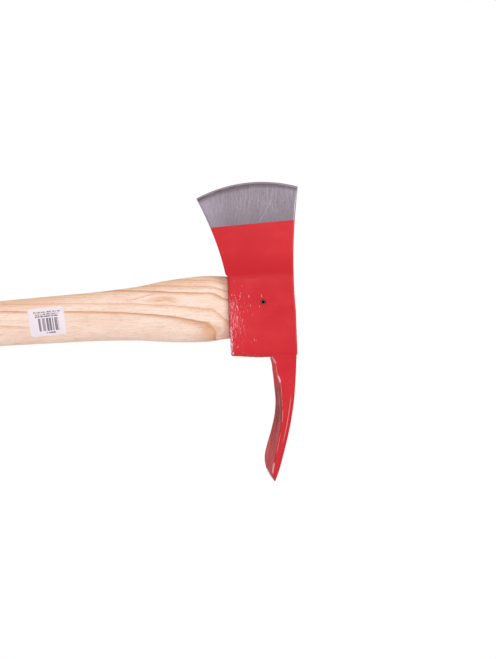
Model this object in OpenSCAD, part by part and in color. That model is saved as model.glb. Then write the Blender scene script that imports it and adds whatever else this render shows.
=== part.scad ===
// Pick-head fire axe: a forged steel head wedged and pinned on a curved ash haft.
// +Z runs up the haft to the head, -X is the bit side, +X the pick side, -Y the labelled side.
// The origin is the middle of the eye on the head's underside, where a wall bracket carries it.

/* [Head] */
// Height of the eye block along the haft
head_h = 66; // [64:0.5:68]
// Thickness of the head across its flat cheeks
cheek_t = 38; // [36:0.5:44]
// Distance from the eye's centre to the crown of the cutting edge
bit_reach = 125; // [120:0.5:135]
// Radius of the curved cutting edge
edge_r = 138.6; // [130:0.2:170]
// Height of the crown of the cutting edge above the underside
edge_z = 32.3; // [28:0.1:36]
// Height of the toe corner of the bit above the underside
toe_z = 73.2; // [70:0.2:78]
// Drop of the heel corner of the bit below the underside
heel_drop = 28.9; // [22:0.1:32]
// Distance from the eye's centre to the crease where the cheek starts to thin
crease_x = 31; // [30:0.5:40]
// Distance from the eye's centre to the back of the eye block
poll_x = 50.6; // [49:0.2:55]

/* [Cutting edge] */
// Width of the ground bevel along the cutting edge
bevel_w = 5.5; // [4:0.5:8]
// Thickness of the blade where the bevel starts
bevel_t = 3.6; // [3:0.1:5]
// Thickness of the cutting edge itself
edge_t = 0.5; // [0.3:0.1:1]

/* [Pick] */
// Distance from the eye's centre to the point of the pick
pick_reach = 174.5; // [165:0.5:190]
// Thickness of the pick where it leaves the eye block
pick_t = 29; // [24:0.5:31]
// Depth of the hollow in each inner face of the pick
hollow = 0.9; // [0:0.1:1.5]

/* [Eye] */
// Length of the oval eye, from bit side to pick side
eye_l = 58; // [54:0.5:58]
// Width of the oval eye, from cheek to cheek
eye_w = 24; // [22:0.5:26]

/* [Haft] */
// Length of the haft below the head
haft_len = 834; // [700:1:860]
// Depth of the haft at its shoulder, from bit side to pick side
shoulder_d = 65.8; // [62:0.2:67]
// Depth of the haft at the grip
grip_d = 34.5; // [30:0.5:38]
// Depth of the flared foot
foot_d = 52; // [44:0.5:56]
// Thickness of the haft at its shoulder
haft_t = 30; // [28:0.5:32]
// How far the haft bows towards the pick side
bow = 16; // [0:0.5:20]
// How far the foot sweeps towards the bit side
sweep = 12; // [0:0.5:16]

/* [Wedges] */
// Depth of the saw kerf and its hardwood wedge
kerf_d = 46; // [36:1:50]
// Width of the kerf at the top of the haft
kerf_w = 6; // [4:0.5:8]
// Depth that the steel wedges are driven to
steel_d = 28; // [20:1:30]
// Width of each steel wedge
steel_w = 16; // [12:0.5:17]
// Thickness of each steel wedge at its head
steel_t = 3.4; // [2:0.1:4]
// Distance of each steel wedge from the eye's centre
steel_x = 15; // [14:0.5:16]
// Angle that the steel wedges are turned from straight across the kerf
steel_turn = 14; // [0:1:20]

/* [Pin] */
// Diameter of the cross pin and its hole
pin_d = 5; // [4:0.1:6]
// Diameter of the bore through the spring pin
pin_bore_d = 3; // [2:0.1:3.4]
// Width of the slot along the spring pin
pin_slot = 1.1; // [0.6:0.1:1.4]
// Length of the cross pin
pin_len = 33.5; // [24:0.5:34]
// Distance of the pin from the eye's centre, towards the bit
pin_x = 4.8; // [0:0.1:8]
// Height of the pin above the underside
pin_z = 34; // [28:0.5:40]

/* [Label] */
// Length of the paper label along the haft
label_l = 35.5; // [30:0.5:40]
// Height of the paper label across the haft
label_h = 28; // [22:0.5:30]
// Radius of the label's corners
label_r = 3; // [1:0.5:5]
// Thickness of the label
label_t = 0.3; // [0.2:0.05:0.5]
// Distance of the label's middle below the head
label_drop = 181.5; // [150:0.5:240]
// Distance of the label's middle from the eye's centre line, towards the pick
label_x = 5.9; // [2:0.1:9]
// Angle that the label is turned from the haft
label_turn = 3.5; // [-6:0.5:6]

/* [Hidden] */
$fn = 96;

cheek_y = cheek_t / 2;
pin_recess = 0.8;                   // depth of the pin's end below the labelled cheek
edge_cx = edge_r - bit_reach;       // centre of the cutting edge's arc
flush_z = head_h - 0.8;             // top of the haft and its wedges, cut off just inside the eye
collar = 2.5;                       // length of the neck between the underside and the shoulder
seam = 1;                           // how far joined solids run into each other
far = 60;                           // longer than any thickness cut through

function bezier(p, t) =
    pow(1 - t, 3) * p[0] + 3 * t * pow(1 - t, 2) * p[1] + 3 * t * t * (1 - t) * p[2] + t * t * t * p[3];

function bezier_run(p, steps) = [for (i = [0:steps]) bezier(p, i / steps)];

// Smooth curve through the rows of a table, whose first column rises
function tangent(rows, i) =
    let (a = rows[max(i - 1, 0)], b = rows[min(i + 1, len(rows) - 1)])
    (b - a) / (b[0] - a[0]);

function between(rows, i, u) =
    let (span = rows[i + 1][0] - rows[i][0], u2 = u * u, u3 = u2 * u)
    rows[i] * (2 * u3 - 3 * u2 + 1) + tangent(rows, i) * span * (u3 - 2 * u2 + u)
    + rows[i + 1] * (3 * u2 - 2 * u3) + tangent(rows, i + 1) * span * (u3 - u2);

function smooth_rows(rows, steps) = [
    for (i = [0:len(rows) - 2], k = [0:steps - 1]) between(rows, i, k / steps),
    rows[len(rows) - 1]
];

// Full oval with blunter ends than an ellipse, anticlockwise
function blunt(c) = sign(c) * pow(abs(c), 0.88);

function oval(half_l, half_w, sides) =
    [for (k = [0:sides - 1]) let (a = 360 * k / sides) [half_l * blunt(cos(a)), half_w * blunt(sin(a))]];

// Solid through a list of rings, each running anticlockwise as seen from the last one
module loft(rings) {
    n = len(rings[0]);
    last = len(rings) - 1;
    polyhedron(
        points = [for (ring = rings) each ring],
        faces = [
            [for (k = [0:n - 1]) k],
            for (i = [0:last - 1], k = [0:n - 1])
                let (a = i * n + k, b = i * n + (k + 1) % n)
                each [[a, a + n, b + n], [a, b + n, b]],
            [for (k = [n - 1:-1:0]) last * n + k]
        ],
        convexity = 6
    );
}

// Head ------------------------------------------------------------------

// Lower flank of the bit, from the underside down to the heel
heel_flank = [
    [-34.5, -2.6],
    [-54, -6.2],
    [-79, -13.5],
    [-bit_reach + 14.1, -heel_drop]
];

// Upper flank of the bit, from the top of the eye block out to the toe
toe_flank = [
    [5, head_h],
    [-35, head_h - 2.4],
    [-75, head_h + 0.5],
    [-bit_reach + 5.9, toe_z]
];

// Side view of the bit and eye block, in X and Z
module head_outline() {
    past = 12;
    intersection() {
        polygon(concat(
            [[-31.5, 0], [poll_x - 6, 0], [poll_x - 3.5, 1.2], [poll_x - 2.4, 4], [poll_x, 33]],
            [[poll_x, 63.5], [poll_x - 2.5, head_h]],
            bezier_run(toe_flank, 12),
            [[toe_flank[3].x - past, toe_z + past * 0.16]],
            [[heel_flank[3].x - past, -heel_drop - past * 0.42]],
            [for (i = [12:-1:0]) bezier(heel_flank, i / 12)]
        ));
        translate([edge_cx, edge_z]) circle(r = edge_r, $fn = 240);
    }
}

// Half thickness of the blade, hollow between the edge bevel and the crease
function blade_y(x) =
    let (s = (x + bit_reach - bevel_w) / (bit_reach - bevel_w - crease_x))
    bevel_t / 2 + (cheek_y - bevel_t / 2) * (0.38 * s + 0.62 * s * s);

// Half thickness of the back of the eye block, rounded towards the pick
poll_start = 24;
function poll_y(x) = cheek_y * pow(1 - pow((x - poll_start) / (poll_x - poll_start), 5), 1 / 5);

// Plan view of the head's thickness, in X and Y
module thickness_outline() {
    blade_steps = 12;
    poll_steps = 9;
    blade = [
        for (i = [0:blade_steps])
            let (x = -bit_reach - 1 + (bit_reach + 1 - crease_x) * i / blade_steps) [x, blade_y(x)]
    ];
    poll = [
        for (i = [0:poll_steps])
            let (x = poll_start + (poll_x - poll_start) * sin(90 * i / poll_steps)) [x, poll_y(x)]
    ];
    half = concat(blade, poll);
    polygon(concat(half, [for (i = [len(half) - 2:-1:0]) [half[i].x, -half[i].y]]));
}

// Disc with a bevelled rim, which grinds the cutting edge
module edge_grind() {
    rise = (bevel_t - edge_t) / 2 / bevel_w + 0.06;
    deep = (far / 2 - edge_t / 2) / rise;
    translate([edge_cx, 0, edge_z]) rotate([90, 0, 0])
        rotate_extrude($fn = 240)
            polygon([
                [0, -far / 2], [edge_r - deep, -far / 2], [edge_r, -edge_t / 2],
                [edge_r, edge_t / 2], [edge_r - deep, far / 2], [0, far / 2]
            ]);
}

// Pick, one row for each ring: x, outer edge, inner edge, ridge height, ridge half, outer half
pick_rows = [
    [40, 65.4, 39.2, 41.2, pick_t / 2, pick_t / 2 - 1],
    [52, 64.9, 39.6, 42.4, pick_t / 2 - 0.5, pick_t / 2 - 1.5],
    [64, 64.2, 40.8, 45.2, 12.6, 11],
    [78, 62.9, 41.8, 47.6, 11.3, 9],
    [94, 61.2, 42.6, 48.5, 10.2, 7.2],
    [108, 58.8, 41, 48.7, 9.6, 5.8],
    [122, 55.8, 37.5, 47.1, 9.3, 4.6],
    [136, 52.1, 32.9, 44.1, 9.0, 3.6],
    [149, 48.3, 29.7, 40.7, 8.0, 2.6],
    [160, 45, 30.6, 38.5, 5.8, 1.8],
    [168, 42.2, 34.1, 38, 3.2, 1.1],
    [174.5, 39.6, 38.6, 39.1, 0.7, 0.3]
];

function pick_ring(r) =
    let (
        x = r[0] <= 52 ? r[0] : 52 + (r[0] - 52) * (pick_reach - 52) / 122.5,
        mid_z = (r[2] + r[3]) / 2 + hollow * (r[3] - r[2]) / 12,
        mid_y = r[4] / 2,
        keel = min(0.6, r[4] / 4)
    )
    [
        [x, -r[5], r[1]], [x, -r[4], r[3]], [x, -mid_y, mid_z], [x, -keel, r[2]],
        [x, keel, r[2]], [x, mid_y, mid_z], [x, r[4], r[3]], [x, r[5], r[1]]
    ];

module pick() {
    loft([for (r = smooth_rows(pick_rows, 2)) pick_ring(r)]);
}

// Oval of the eye, and of the tongue that fills it
module eye_oval() {
    polygon(oval(eye_l / 2, eye_w / 2, 40));
}

// Blind hole for the pin, from the labelled cheek through the haft into the other cheek
module pin_hole() {
    deep = pin_recess + pin_len + 0.5;
    translate([-pin_x, -cheek_y - seam, pin_z]) rotate([-90, 0, 0]) cylinder(d = pin_d, h = deep + seam);
}

module axe_head() {
    color("firebrick") difference() {
        union() {
            intersection() {
                rotate([90, 0, 0]) linear_extrude(far, center = true) head_outline();
                translate([0, 0, -far]) linear_extrude(3 * far) thickness_outline();
                edge_grind();
            }
            pick();
        }
        translate([0, 0, -far / 2]) linear_extrude(3 * far) eye_oval();
        pin_hole();
    }
}

// Haft ------------------------------------------------------------------

// One row for each ring, from the foot up: z, centre, half depth, half thickness
haft_rows = [
    [-haft_len, -sweep - 1, foot_d / 2 - 3, haft_t / 2 - 2.5],
    [-haft_len + 6, -sweep - 0.2, foot_d / 2 - 0.4, haft_t / 2 - 0.6],
    [-haft_len + 24, -sweep + 2.5, foot_d / 2, haft_t / 2],
    [-haft_len + 62, -sweep + 9.5, grip_d / 2 + 3.2, haft_t / 2 - 1],
    [-haft_len + 110, bow - 11, grip_d / 2 + 0.4, haft_t / 2 - 2],
    [-haft_len * 0.77, bow - 3, grip_d / 2, haft_t / 2 - 2.2],
    [-haft_len * 0.63, bow, grip_d / 2 + 0.4, haft_t / 2 - 2],
    [-haft_len * 0.48, bow - 2.8, 19.2, haft_t / 2 - 1.7],
    [-haft_len * 0.36, bow * 0.58, 21.2, haft_t / 2 - 1.4],
    [-230, bow * 0.41, 22.5, haft_t / 2 - 1.2],
    [-180, bow * 0.3, 23.5, haft_t / 2 - 1],
    [-132, bow * 0.2, 24.5, haft_t / 2 - 0.8],
    [-91, bow * 0.12, shoulder_d / 2 - 5.9, haft_t / 2 - 0.5],
    [-65, 0.9, shoulder_d / 2 - 2.5, haft_t / 2 - 0.2],
    [-40, 0.2, shoulder_d / 2 - 0.5, haft_t / 2],
    [-22, -0.3, shoulder_d / 2, haft_t / 2],
    [-8, -0.8, shoulder_d / 2 - 1.3, haft_t / 2 - 0.5],
    [-collar, -0.9, shoulder_d / 2 - 2.4, haft_t / 2 - 1.4]
];

// Full oval ring of the haft, made larger all round by grow
function haft_ring(r, grow) =
    [for (q = oval(r[2] + grow, r[3] + grow, 24)) [r[1] + q.x, q.y, r[0]]];

haft_stack = smooth_rows(haft_rows, 3);

// Saw kerf, and the hardwood wedge that fills it
module kerf() {
    low = flush_z - kerf_d;
    rotate([90, 0, 90]) linear_extrude(eye_l + 2 * seam, center = true)
        polygon([[-0.6, low], [0.6, low], [kerf_w / 2, flush_z], [-kerf_w / 2, flush_z]]);
}

// Flat steel wedge with two barbs, driven down from the top of the haft
module steel_wedge(side) {
    low = flush_z - steel_d;
    tip = 0.5;
    barb = 0.35;
    head = steel_t / 2;
    mid = flush_z - steel_d * 0.45;
    upper = flush_z - steel_d * 0.2;
    right = [
        [tip, low], [tip + 0.7 * (head - tip), mid], [tip + 0.7 * (head - tip) - barb, mid],
        [head, upper], [head - barb, upper], [head, flush_z]
    ];
    translate([side * steel_x, 0, 0]) rotate([90, 0, side * steel_turn])
        linear_extrude(steel_w, center = true)
            polygon(concat(right, [for (i = [len(right) - 1:-1:0]) [-right[i].x, right[i].y]]));
}

module haft() {
    color("wheat") difference() {
        union() {
            translate([0, 0, -collar - seam]) linear_extrude(flush_z + collar + seam) eye_oval();
            loft([for (r = haft_stack) haft_ring(r, 0)]);
        }
        kerf();
        steel_wedge(-1);
        steel_wedge(1);
        pin_hole();
    }
}

module kerf_wedge() {
    color("burlywood") difference() {
        intersection() {
            kerf();
            linear_extrude(head_h) eye_oval();
        }
        steel_wedge(-1);
        steel_wedge(1);
        pin_hole();
    }
}

module steel_wedge_front() {
    color("silver") steel_wedge(-1);
}

module steel_wedge_back() {
    color("silver") steel_wedge(1);
}

// Slotted spring pin, its slot turned towards the top of the head
module cross_pin() {
    color("dimgray") translate([-pin_x, pin_recess - cheek_y, pin_z]) rotate([-90, 0, 0]) difference() {
        cylinder(d = pin_d, h = pin_len);
        translate([0, 0, -seam]) cylinder(d = pin_bore_d, h = far);
        translate([-pin_slot / 2, -pin_d, -seam]) cube([pin_slot, pin_d, far]);
    }
}

// Label -----------------------------------------------------------------

module label_outline() {
    for (sx = [-1, 1], sz = [-1, 1])
        translate([sx * (label_h / 2 - label_r), sz * (label_l / 2 - label_r)]) circle(r = label_r);
    square([label_h - 2 * label_r, label_l], center = true);
    square([label_h, label_l - 2 * label_r], center = true);
}

module label() {
    near = label_l / 2 + 24;
    stack = [for (r = haft_stack) if (abs(r[0] + label_drop) < near) r];
    color("ghostwhite") difference() {
        intersection() {
            loft([for (r = stack) haft_ring(r, label_t)]);
            translate([label_x, 0, -label_drop]) rotate([0, -label_turn, 0]) rotate([90, 0, 0])
                linear_extrude(far / 2) label_outline();
        }
        loft([for (r = stack) haft_ring(r, 0)]);
    }
}

axe_head();
haft();
kerf_wedge();
steel_wedge_front();
steel_wedge_back();
cross_pin();
label();
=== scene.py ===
import math
import bpy
import numpy as np
from mathutils import Matrix, Vector, noise


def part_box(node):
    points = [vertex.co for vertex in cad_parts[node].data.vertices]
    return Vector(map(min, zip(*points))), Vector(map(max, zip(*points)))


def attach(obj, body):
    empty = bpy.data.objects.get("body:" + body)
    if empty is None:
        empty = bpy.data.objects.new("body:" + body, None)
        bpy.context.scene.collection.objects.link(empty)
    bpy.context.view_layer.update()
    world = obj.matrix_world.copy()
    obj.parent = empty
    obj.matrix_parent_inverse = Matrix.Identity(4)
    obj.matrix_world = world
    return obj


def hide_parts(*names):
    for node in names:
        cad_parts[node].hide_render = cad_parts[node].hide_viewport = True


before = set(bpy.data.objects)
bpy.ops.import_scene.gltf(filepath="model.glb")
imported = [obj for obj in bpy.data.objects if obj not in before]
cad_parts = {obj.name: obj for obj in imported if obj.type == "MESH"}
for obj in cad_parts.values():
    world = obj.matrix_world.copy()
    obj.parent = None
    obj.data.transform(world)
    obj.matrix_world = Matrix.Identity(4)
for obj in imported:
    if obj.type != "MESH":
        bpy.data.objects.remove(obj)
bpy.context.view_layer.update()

# Pick-head fire axe. Lengths are in millimetres until a mesh is made.
# +Z runs up the haft, -X is the bit side, +X the pick side, -Y the labelled side.
mm = 0.001


def boxOf(node):  # lowest and highest corner of a CAD node, in millimetres
    low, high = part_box(node)
    return np.array(low) / mm, np.array(high) / mm


headLow, headHigh = boxOf("axe_head")
haftLow = boxOf("haft")[0]
labelLow, labelHigh = boxOf("label")
pinLow, pinHigh = boxOf("cross_pin")
kerfLow, kerfHigh = boxOf("kerf_wedge")
topZ = kerfHigh[2]  # the haft and its wedges are cut off here, just inside the eye


# Curves and lofts

def bezier(points, steps):  # cubic curve as an array of points
    p = np.array(points, float)
    t = np.linspace(0, 1, steps + 1)[:, None]
    return (1 - t) ** 3 * p[0] + 3 * t * (1 - t) ** 2 * p[1] + 3 * t * t * (1 - t) * p[2] + t ** 3 * p[3]


def reachOf(line):  # distance from the start of a polyline to each of its points
    steps = np.linalg.norm(np.diff(line, axis=0), axis=1)
    return np.concatenate([[0], np.cumsum(steps)])


def along(line, distances):  # points of a polyline at the given distances from its start
    reach = reachOf(line)
    return np.stack([np.interp(distances, reach, line[:, k]) for k in range(line.shape[1])], axis=-1)


def rise(value, start, end):  # 0 at start and 1 at end, straight between and flat beyond
    return np.clip((value - start) / (end - start), 0, 1)


def smoothRows(rows, places):  # smooth curve through the rows of a table whose first column rises
    r = np.array(rows, float)
    slope = np.gradient(r, axis=0)
    slope[1:-1] = r[2:] - r[:-2]
    slope = slope / slope[:, :1]
    out = []
    for place in places:
        i = int(np.clip(np.searchsorted(r[:, 0], place, side="right") - 1, 0, len(r) - 2))
        span = r[i + 1, 0] - r[i, 0]
        u = (place - r[i, 0]) / span
        out.append(r[i] * (2 * u ** 3 - 3 * u ** 2 + 1) + slope[i] * span * (u ** 3 - 2 * u ** 2 + u)
                   + r[i + 1] * (3 * u ** 2 - 2 * u ** 3) + slope[i + 1] * span * (u ** 3 - u ** 2))
    return np.array(out)


def spread(*runs):  # places along a line, from runs of (start, end, steps) that follow on
    parts = [np.linspace(a, b, n, endpoint=False) for a, b, n in runs]
    return np.concatenate(parts + [[runs[-1][1]]])


ovalPower = 0.88  # below 1, it makes the haft and the eye blunter than an ellipse


def blunt(c):
    return np.sign(c) * np.abs(c) ** ovalPower


def anglesRound(sides):
    return np.arange(sides) * 2 * math.pi / sides


def ovalRing(halfX, halfY, sides):  # same blunt oval as the CAD haft and eye
    a = anglesRound(sides)
    return np.stack([halfX * blunt(np.cos(a)), halfY * blunt(np.sin(a))], axis=1)


def makeMesh(name, points, faces, sharp=35):
    mesh = bpy.data.meshes.new(name)
    mesh.from_pydata([tuple(p) for p in np.asarray(points) * mm], [], faces)
    mesh.validate()
    piece = bpy.data.objects.new(name, mesh)
    bpy.context.scene.collection.objects.link(piece)
    shadeByAngle(piece, sharp)
    return piece


def shadeByAngle(piece, sharp):
    mesh = piece.data
    mesh.polygons.foreach_set("use_smooth", [True] * len(mesh.polygons))
    mesh.set_sharp_from_angle(angle=math.radians(sharp))
    mesh.update()


def loftFaces(rings, sides, closedEnds=True):  # quads between rings of equal length
    faces = []
    for i in range(rings - 1):
        for k in range(sides):
            a, b = i * sides + k, i * sides + (k + 1) % sides
            faces.append((a, b, b + sides, a + sides))
    if closedEnds:
        faces.append(tuple(range(sides - 1, -1, -1)))
        faces.append(tuple((rings - 1) * sides + k for k in range(sides)))
    return faces


def carve(piece, cutter, operation="DIFFERENCE"):  # boolean whose result is kept in the mesh
    step = piece.modifiers.new("carve", "BOOLEAN")
    step.operation = operation
    step.solver = "EXACT"
    step.object = cutter
    bpy.context.view_layer.update()
    shaped = piece.evaluated_get(bpy.context.evaluated_depsgraph_get())
    mesh = bpy.data.meshes.new_from_object(shaped)
    piece.modifiers.clear()
    old = piece.data
    piece.data = mesh
    bpy.data.meshes.remove(old)
    bpy.data.objects.remove(cutter)


def settle(piece, node, material):  # the piece stands for its CAD node
    piece.data.materials.clear()
    piece.data.materials.append(material)
    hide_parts(node)
    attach(piece, "root")


# Shader nodes written as expressions

def operators(operation):  # the straight and the reflected form of one Math node
    def straight(self, other):
        return self.maths(operation, self, other)

    def reflected(self, other):
        return self.maths(operation, other, self)

    return straight, reflected


class Link:
    __add__, __radd__ = operators("ADD")
    __sub__, __rsub__ = operators("SUBTRACT")
    __mul__, __rmul__ = operators("MULTIPLY")
    __truediv__, __rtruediv__ = operators("DIVIDE")
    __pow__, __rpow__ = operators("POWER")
    __gt__, __lt__ = operators("GREATER_THAN")  # each is the other's reflected form

    def __init__(self, paint, socket):
        self.paint = paint
        self.socket = socket

    def maths(self, operation, *values):
        return self.paint.node("Math", {"operation": operation}, dict(enumerate(values)))

    def __abs__(self):
        return self.maths("ABSOLUTE", self)

    def sqrt(self):
        return self.maths("SQRT", self)

    def floor(self):
        return self.maths("FLOOR", self)

    def fraction(self):
        return self.maths("FRACT", self)

    def most(self, other):
        return self.maths("MAXIMUM", self, other)

    def fade(self, start, end, how="SMOOTHSTEP"):  # 0 at start and 1 at end, flat beyond
        return self.paint.node("MapRange", {"interpolation_type": how},
                               {"Value": self, "From Min": start, "From Max": end})


class Paint:
    def __init__(self, name):
        self.material = bpy.data.materials.new(name)
        self.material.use_nodes = True
        self.tree = self.material.node_tree
        self.tree.nodes.clear()
        self.place = self.scaled(self.node("TexCoord", {}, {}, "Object"), 1 / mm)
        self.x, self.y, self.z = self.split(self.place)

    def node(self, kind, settings, values, output=0):
        made = self.tree.nodes.new("ShaderNode" + kind)
        for key, value in settings.items():
            if key == "stops":
                ramp = made.color_ramp
                while len(ramp.elements) < len(value):
                    ramp.elements.new(0.5)
                for element, (position, grey) in zip(ramp.elements, value):
                    element.position = position
                    element.color = (grey, grey, grey, 1)
            else:
                setattr(made, key, value)
        for key, value in values.items():
            if isinstance(value, Link):
                self.tree.links.new(value.socket, made.inputs[key])
            else:
                made.inputs[key].default_value = value
        return Link(self, made.outputs[output])

    def split(self, vector):
        first = self.node("SeparateXYZ", {}, {"Vector": vector})
        return [Link(self, socket) for socket in first.socket.node.outputs]

    def join(self, x, y, z):
        return self.node("CombineXYZ", {}, {"X": x, "Y": y, "Z": z})

    def scaled(self, vector, factor):
        factors = factor if isinstance(factor, tuple) else (factor,) * 3
        return self.node("VectorMath", {"operation": "MULTIPLY"}, {0: vector, 1: factors})

    def moved(self, vector, shift):  # shifted by the same amount along each axis
        return self.node("VectorMath", {"operation": "ADD"}, {0: vector, 1: shift})

    def stretched(self, vector, stretch):  # the object's own place where no vector is given
        start = self.place if vector is None else vector
        return self.scaled(start, stretch) if stretch else start

    def cloud(self, scale, stretch=None, detail=2.0, roughness=0.5, vector=None):
        return self.node("TexNoise", {}, {"Vector": self.stretched(vector, stretch), "Scale": scale,
                                          "Detail": detail, "Roughness": roughness})

    def cells(self, scale, stretch=None, vector=None):  # distance to a cell's middle, and its random number
        values = {"Vector": self.stretched(vector, stretch), "Scale": scale}
        first = self.node("TexVoronoi", {}, values, "Distance")
        return first, self.split(Link(self, first.socket.node.outputs["Color"]))[0]

    def blend(self, factor, first, second):  # colours
        return self.node("Mix", {"data_type": "RGBA"}, {0: factor, 6: first, 7: second}, 2)

    def layers(self, base, *layers):  # each layer is a mask, how strongly it shows, and its colour
        for mask, strength, tone in layers:
            base = self.blend(mask * strength, base, tone)
        return base

    def bump(self, height, depth, strength=1.0, under=None):  # depth in millimetres
        values = {"Height": height, "Distance": depth * mm, "Strength": strength}
        if under is not None:
            values["Normal"] = under
        return self.node("Bump", {}, values)

    def finish(self, values):
        shader = self.node("BsdfPrincipled", {}, values)
        out = self.tree.nodes.new("ShaderNodeOutputMaterial")
        self.tree.links.new(shader.socket, out.inputs["Surface"])
        return self.material


def colour(red, green, blue):  # display values 0 to 255 as linear light
    def linear(c):
        c /= 255
        return c / 12.92 if c < 0.04045 else ((c + 0.055) / 1.055) ** 2.4
    return (linear(red), linear(green), linear(blue), 1.0)


# Camera, lights and floor

view = dict(
    lens=85.0,
    aim=(0.0219, 0.0, 0.0179),  # the point of the axe's middle plane in the middle of the view
    tall=0.659,  # metres of the middle plane from top to bottom of the view
    roll=2.2,  # degrees that the haft rises to the right
    sensor=36.0,
)


def makeCamera():
    data = bpy.data.cameras.new("camera")
    data.lens = view["lens"]
    data.sensor_width = view["sensor"]
    camera = bpy.data.objects.new("camera", data)
    bpy.context.scene.collection.objects.link(camera)
    distance = view["tall"] * view["lens"] / view["sensor"]
    roll = math.radians(view["roll"])
    right = Vector((math.sin(roll), 0, math.cos(roll)))
    up = Vector((-math.cos(roll), 0, math.sin(roll)))
    back = Vector((0, -1, 0))
    turn = Matrix((right, up, back)).transposed().to_4x4()
    camera.matrix_world = Matrix.Translation(Vector(view["aim"]) + back * distance) @ turn
    bpy.context.scene.camera = camera


light = dict(
    sky=0.73,  # strength of the even white surround
    panels=(  # name, place, size and power of each soft panel, all turned to the axe
        ("frontPanel", (-0.66, -2.31, -0.05), 0.7, 3.0),
        ("footPanel", (0.55, -1.75, -1.6), 1.3, 74),
        ("headPanel", (-0.45, -1.6, 1.75), 1.3, 28),
        ("backPanel", (0.6, 2.3, 0.5), 1.4, 28),
    ),
    target=(0.0, 0.0, -0.1),
)


def makeLight():
    world = bpy.data.worlds.new("surround")
    bpy.context.scene.world = world
    world.use_nodes = True
    tree = world.node_tree
    tree.nodes.clear()
    kinds = ("LightPath", "Background", "Background", "MixShader", "OutputWorld")
    seen, even, white, mix, out = (tree.nodes.new("ShaderNode" + kind) for kind in kinds)
    even.inputs["Color"].default_value = (1, 1, 1, 1)
    even.inputs["Strength"].default_value = light["sky"]
    white.inputs["Color"].default_value = (1, 1, 1, 1)
    tree.links.new(seen.outputs["Is Camera Ray"], mix.inputs[0])
    tree.links.new(even.outputs[0], mix.inputs[1])
    tree.links.new(white.outputs[0], mix.inputs[2])
    tree.links.new(mix.outputs[0], out.inputs["Surface"])
    for name, place, size, power in light["panels"]:
        data = bpy.data.lights.new(name, "AREA")
        data.shape = "DISK"
        data.size = size
        data.energy = power
        panel = bpy.data.objects.new(name, data)
        bpy.context.scene.collection.objects.link(panel)
        panel.location = place
        away = Vector(light["target"]) - Vector(place)
        panel.rotation_euler = away.to_track_quat("-Z", "Y").to_euler()
    bpy.context.scene.view_settings.view_transform = "Standard"


floorLook = dict(
    radius=3300.0,
    rings=24,
    sides=96,
    tone=colour(228, 228, 227),
    paler=colour(233, 233, 232),
    cloud=0.004,
    rough=0.6,
)


def makeFloor():
    f = floorLook
    n = f["sides"]
    a = anglesRound(n)
    level = haftLow[2]
    rings = [np.stack([reach * np.cos(a), reach * np.sin(a), np.full(n, level)], axis=1)
             for reach in np.linspace(0, f["radius"], f["rings"] + 1)[1:]]
    faces = [tuple(k + 1 for k in face[::-1]) for face in loftFaces(len(rings), n, closedEnds=False)]
    faces += [(0, 1 + k, 1 + (k + 1) % n) for k in range(n)]  # round the middle
    floor = makeMesh("floor", np.concatenate([[(0, 0, level)], *rings]), faces)
    paint = Paint("paleFloor")
    shade = paint.blend(paint.cloud(f["cloud"], detail=3), f["tone"], f["paler"])
    floor.data.materials.append(paint.finish({"Base Color": shade, "Roughness": f["rough"]}))


makeCamera()
makeLight()
makeFloor()
print("camera, lights and floor made")


# Head: bit and eye block in one loft, the pick in another, joined and then pierced

head = dict(
    edgeRadius=138.6,
    heel=(-110.9, headLow[2]),
    toe=(-119.1, headHigh[2]),
    heelFlank=((-79, -13.5), (-54, -6.2), (-34.5, -2.6)),
    heelSteps=80,
    notch=(-31.5, 0.0),
    toeFlank=((-75, 66.5), (-35, 63.6), (5, 66.0)),
    toeSteps=120,
    height=66.0,
    crease=94.0,  # distance from the cutting edge at which the blade meets the flat cheek
    creaseStart=70.0,  # rings stand closer from here to the crease
    bladeSteps=(3, 6, 2, 42, 24),  # honed strip, bevel, its shoulder, blade and crease
    bevel=5.4,  # width of the ground bevel
    bevelHalf=1.8,  # half thickness of the blade at the bevel's shoulder
    honed=0.7,  # width of the fine honed strip along the edge
    honedHalf=0.42,
    edgeHalf=0.12,
    straight=0.38,  # share of the blade's thickening that is a straight taper
    blendDepth=1.7,  # softness of the crease
    arcFade=1.2,  # how soon the edge's arc flattens towards the crease
    corner=1.7,  # radius of the long edges of the head
    cornerShare=0.55,  # the most that the radius may take of the half thickness
    backStart=24.0,
    backEnd=48.2,
    backPower=5.0,
    backLean=0.083,
    backTurn=88.4,  # degrees round the back at the last ring
    leanTop=29.0,  # height at which the leaning back turns upright
    lowCorner=3.4,
    highCorner=3.2,
    cheekGap=1.5,  # from the crease to the first ring of the cheek
    cheekRings=34,
    backRings=40,
    cornerSteps=5,
    cheekSteps=56,
    rimSteps=8,
    forged=0.16,  # depth of the hammered unevenness of the cheeks
    forgedScale=0.035,
    forgedBias=0.35,
    forgedX=(-92, -62),  # it fades in between these, off the ground bit
    forgedY=(0, 6),
)
cheekY = headHigh[1]


def arcBetween(low, high, sag, parts):  # circular arc that bulges towards the bit
    low, high = np.array(low, float), np.array(high, float)
    chord = high - low
    length = np.linalg.norm(chord)
    side = np.array([-chord[1], chord[0]]) / length
    if sag < 0.02:  # as good as straight
        return low + parts[:, None] * chord
    radius = (length ** 2 / 4 + sag ** 2) / (2 * sag)
    half = math.asin(length / 2 / radius)
    a = (parts * 2 - 1) * half
    across = radius * np.cos(a) - (radius - sag)
    forward = radius * np.sin(a) + length / 2
    return low + forward[:, None] * chord / length + across[:, None] * side


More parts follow.
